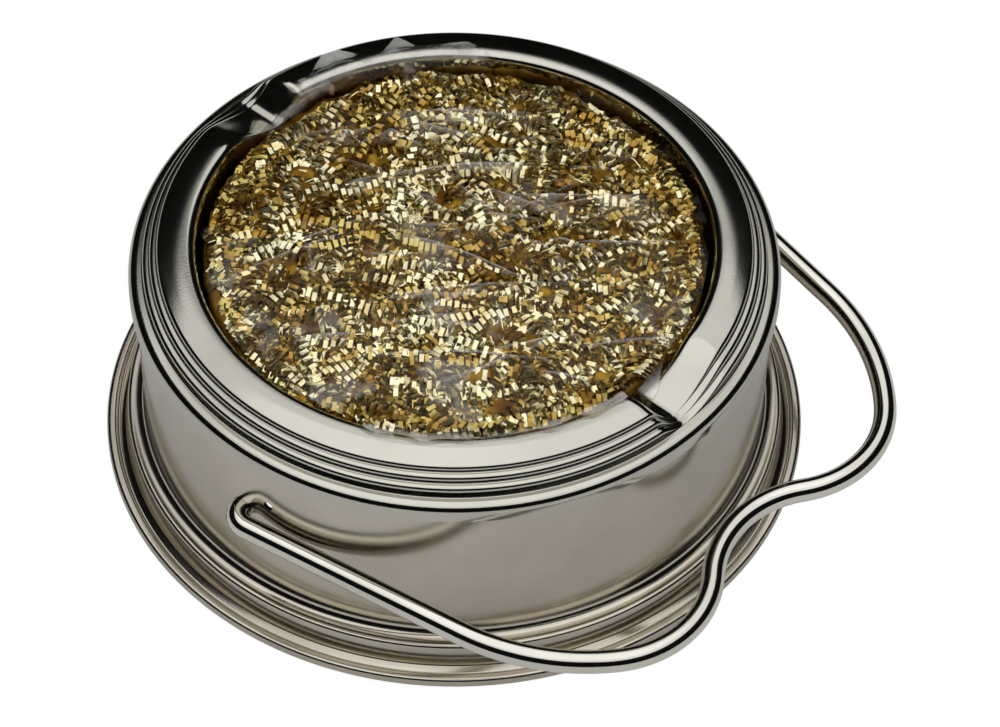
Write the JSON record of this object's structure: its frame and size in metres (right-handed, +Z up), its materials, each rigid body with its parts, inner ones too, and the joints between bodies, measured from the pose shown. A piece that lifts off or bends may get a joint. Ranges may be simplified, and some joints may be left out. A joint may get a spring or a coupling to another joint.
{
  "type": "soldering tip cleaner with wire rest",
  "caption": "Round plated-steel holder with a stepped foot and rim, a bowl of brass wool for wiping a soldering tip, pressed rests across the rim, and a hinged wire bail with a notch.",
  "frame": {"origin": "on the holder's axis, at the level of the flat sole of the foot", "axes": "+Z up along the holder's axis; +X along the bail's reach and the line of the pressed rests; +Y along the bail's pivot axis"},
  "size_m": [0.0958, 0.0876, 0.0353],
  "materials": {
    "plated_steel": "bright nickel plate with fine drawing marks",
    "plated_wire": "bright nickel plate",
    "brass_wool": "bright curled brass ribbon",
    "clear_film": "clear crumpled film"
  },
  "bodies": {
    "base": {"holder": "plated_steel", "bowl": "plated_steel", "brass_wool": "brass_wool", "wool_curl_1": "brass_wool", "wool_curl_2": "brass_wool", "wool_curl_3": "brass_wool", "wool_curl_4": "brass_wool", "wool_curl_5": "brass_wool", "wool_curl_6": "brass_wool", "wool_curl_7": "brass_wool", "film_pouch": "clear_film"},
    "bail": {"bail": "plated_wire"}
  },
  "joints": [
    {"name": "bail_hinge", "type": "hinge", "parent": "base", "child": "bail", "pos_m": [0, 0, 0.01705], "axis": [0, -1, 0], "range_deg": [-14, 31.5]}
  ]
}
